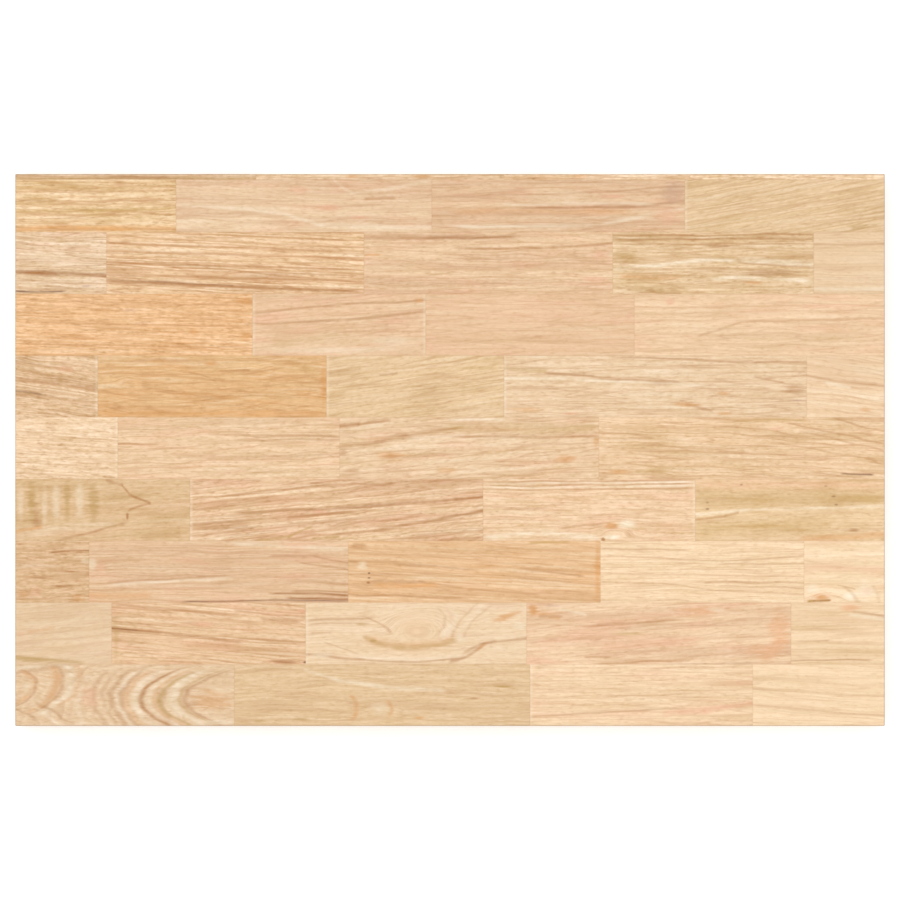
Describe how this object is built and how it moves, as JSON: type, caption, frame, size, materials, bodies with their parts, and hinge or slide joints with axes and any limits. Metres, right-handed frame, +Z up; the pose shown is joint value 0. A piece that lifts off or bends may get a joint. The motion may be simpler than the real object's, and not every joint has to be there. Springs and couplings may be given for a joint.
{
  "type": "butcher block countertop",
  "caption": "Flat rectangular worktop panel of solid oak staves, glued edge to edge in staggered rows and finger jointed end to end, with eased edges.",
  "frame": {"origin": "middle of the underside, where the panel lies on its cabinets", "axes": "+X along the length and the grain, +Y to the rear edge with the ripped strip, +Z up out of the working face"},
  "size_m": [1, 0.635, 0.038],
  "materials": {
    "tan_oak": "sanded, unfinished solid oak",
    "honey_oak": "sanded, unfinished solid oak",
    "straw_oak": "sanded, unfinished solid oak",
    "biscuit_oak": "sanded, unfinished solid oak",
    "wheat_oak": "sanded, unfinished solid oak",
    "peach_oak": "sanded, unfinished solid oak",
    "cream_oak": "sanded, unfinished solid oak",
    "pale_oak": "sanded, unfinished solid oak"
  },
  "bodies": {
    "root": {"strip_stave_1": "tan_oak", "strip_stave_2": "biscuit_oak", "strip_stave_3": "wheat_oak", "strip_stave_4": "peach_oak", "row_1_stave_1": "straw_oak", "row_1_stave_2": "wheat_oak", "row_1_stave_3": "straw_oak", "row_1_stave_4": "straw_oak", "row_2_stave_1": "biscuit_oak", "row_2_stave_2": "straw_oak", "row_2_stave_3": "biscuit_oak", "row_2_stave_4": "straw_oak", "row_2_stave_5": "peach_oak", "row_3_stave_1": "honey_oak", "row_3_stave_2": "wheat_oak", "row_3_stave_3": "peach_oak", "row_3_stave_4": "cream_oak", "row_4_stave_1": "straw_oak", "row_4_stave_2": "honey_oak", "row_4_stave_3": "biscuit_oak", "row_4_stave_4": "wheat_oak", "row_4_stave_5": "cream_oak", "row_5_stave_1": "cream_oak", "row_5_stave_2": "wheat_oak", "row_5_stave_3": "biscuit_oak", "row_5_stave_4": "biscuit_oak", "row_6_stave_1": "tan_oak", "row_6_stave_2": "straw_oak", "row_6_stave_3": "cream_oak", "row_6_stave_4": "wheat_oak", "row_7_stave_1": "tan_oak", "row_7_stave_2": "straw_oak", "row_7_stave_3": "honey_oak", "row_7_stave_4": "pale_oak", "row_7_stave_5": "pale_oak", "row_8_stave_1": "wheat_oak", "row_8_stave_2": "straw_oak", "row_8_stave_3": "cream_oak", "row_8_stave_4": "peach_oak", "row_8_stave_5": "cream_oak", "row_9_stave_1": "straw_oak", "row_9_stave_2": "biscuit_oak", "row_9_stave_3": "cream_oak", "row_9_stave_4": "pale_oak"}
  },
  "joints": []
}
